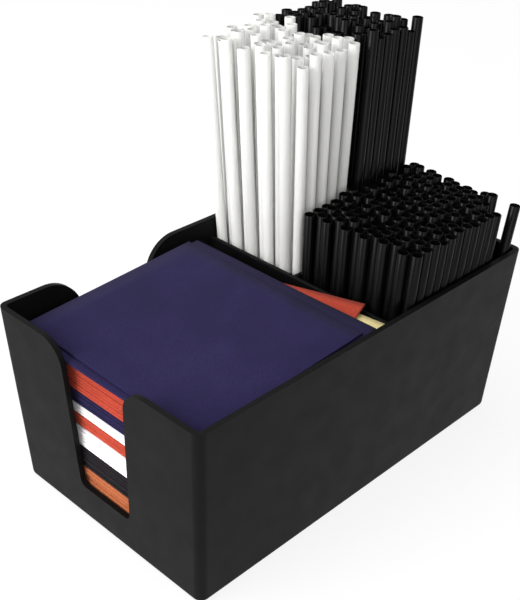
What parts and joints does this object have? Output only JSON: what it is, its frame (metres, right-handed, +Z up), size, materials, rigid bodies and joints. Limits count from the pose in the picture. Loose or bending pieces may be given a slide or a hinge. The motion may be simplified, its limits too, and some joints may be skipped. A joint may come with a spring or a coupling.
{
  "type": "napkin dispenser",
  "caption": "Bar-top napkin dispenser: drafted black moulded tray with a finger slot, loaded with folded paper napkins, tall drinking straws and short stirring straws.",
  "frame": {"origin": "centre of the flat underside of the tray", "axes": "+X along the tray toward the straw cells, +Y toward the long wall with the finger cut-out, +Z up"},
  "size_m": [0.2414, 0.1502, 0.2159],
  "materials": {
    "black_abs": "satin moulded grain",
    "paper_brown": "matt crepe tissue",
    "paper_black": "matt crepe tissue",
    "paper_white": "matt crepe tissue",
    "paper_red": "matt crepe tissue",
    "paper_navy": "matt crepe tissue",
    "paper_cream": "matt crepe tissue",
    "frosted_white": "frosted translucent",
    "gloss_black": "gloss extruded"
  },
  "bodies": {
    "tray": {"housing": "black_abs", "partition": "black_abs"},
    "pack_brown": {"pack_brown": "paper_brown"},
    "pack_black": {"pack_black": "paper_black"},
    "pack_white_low": {"pack_white_low": "paper_white"},
    "pack_red_low": {"pack_red_low": "paper_red"},
    "pack_white_high": {"pack_white_high": "paper_white"},
    "pack_navy_low": {"pack_navy_low": "paper_navy"},
    "pack_red_high": {"pack_red_high": "paper_red"},
    "pack_navy_high": {"pack_navy_high": "paper_navy"},
    "napkin_cream_fan": {"napkin_cream_fan": "paper_cream"},
    "napkin_red_fan": {"napkin_red_fan": "paper_red"},
    "napkin_navy_fan": {"napkin_navy_fan": "paper_navy"},
    "napkin_navy_top": {"napkin_navy_top": "paper_navy"},
    "white_bundle": {"white_straws_1": "frosted_white", "white_straws_2": "frosted_white", "white_straws_3": "frosted_white", "white_straws_4": "frosted_white"},
    "tall_black_bundle": {"tall_black_straws_1": "gloss_black", "tall_black_straws_2": "gloss_black", "tall_black_straws_3": "gloss_black", "tall_black_straws_4": "gloss_black"},
    "short_black_bundle": {"short_black_straws_1": "gloss_black", "short_black_straws_2": "gloss_black", "short_black_straws_3": "gloss_black", "short_black_straws_4": "gloss_black", "short_black_straws_5": "gloss_black", "short_black_straws_6": "gloss_black"},
    "leaning_straw": {"leaning_straw": "gloss_black"}
  },
  "joints": [
    {"name": "lift_pack_brown", "type": "slide", "parent": "tray", "child": "pack_brown", "axis": [0, 0, 1], "range_m": [0, 0.105]},
    {"name": "lift_pack_black", "type": "slide", "parent": "pack_brown", "child": "pack_black", "axis": [0, 0, 1], "range_m": [0, 0.079]},
    {"name": "lift_pack_white_low", "type": "slide", "parent": "pack_black", "child": "pack_white_low", "axis": [0, 0, 1], "range_m": [0, 0.067]},
    {"name": "lift_pack_red_low", "type": "slide", "parent": "pack_white_low", "child": "pack_red_low", "axis": [0, 0, 1], "range_m": [0, 0.055]},
    {"name": "lift_pack_white_high", "type": "slide", "parent": "pack_red_low", "child": "pack_white_high", "axis": [0, 0, 1], "range_m": [0, 0.047]},
    {"name": "lift_pack_navy_low", "type": "slide", "parent": "pack_white_high", "child": "pack_navy_low", "axis": [0, 0, 1], "range_m": [0, 0.041]},
    {"name": "lift_pack_red_high", "type": "slide", "parent": "pack_navy_low", "child": "pack_red_high", "axis": [0, 0, 1], "range_m": [0, 0.033]},
    {"name": "lift_pack_navy_high", "type": "slide", "parent": "pack_red_high", "child": "pack_navy_high", "axis": [0, 0, 1], "range_m": [0, 0.02]},
    {"name": "lift_napkin_cream_fan", "type": "slide", "parent": "pack_navy_high", "child": "napkin_cream_fan", "axis": [0, 0, 1], "range_m": [0, 0.03]},
    {"name": "lift_napkin_red_fan", "type": "slide", "parent": "napkin_cream_fan", "child": "napkin_red_fan", "axis": [0, 0, 1], "range_m": [0, 0.03]},
    {"name": "lift_napkin_navy_fan", "type": "slide", "parent": "napkin_red_fan", "child": "napkin_navy_fan", "axis": [0, 0, 1], "range_m": [0, 0.03]},
    {"name": "lift_napkin_navy_top", "type": "slide", "parent": "napkin_navy_fan", "child": "napkin_navy_top", "axis": [0, 0, 1], "range_m": [0, 0.03]},
    {"name": "draw_white_bundle", "type": "slide", "parent": "tray", "child": "white_bundle", "axis": [0, 0, 1], "range_m": [0, 0.106]},
    {"name": "draw_tall_black_bundle", "type": "slide", "parent": "tray", "child": "tall_black_bundle", "axis": [0.0455, 0, 0.999], "range_m": [0, 0.106]},
    {"name": "draw_short_black_bundle", "type": "slide", "parent": "tray", "child": "short_black_bundle", "axis": [0, 0, 1], "range_m": [0, 0.106]},
    {"name": "draw_leaning_straw", "type": "slide", "parent": "tray", "child": "leaning_straw", "axis": [0.1043, -0.0477, 0.9934], "range_m": [0, 0.106]}
  ]
}
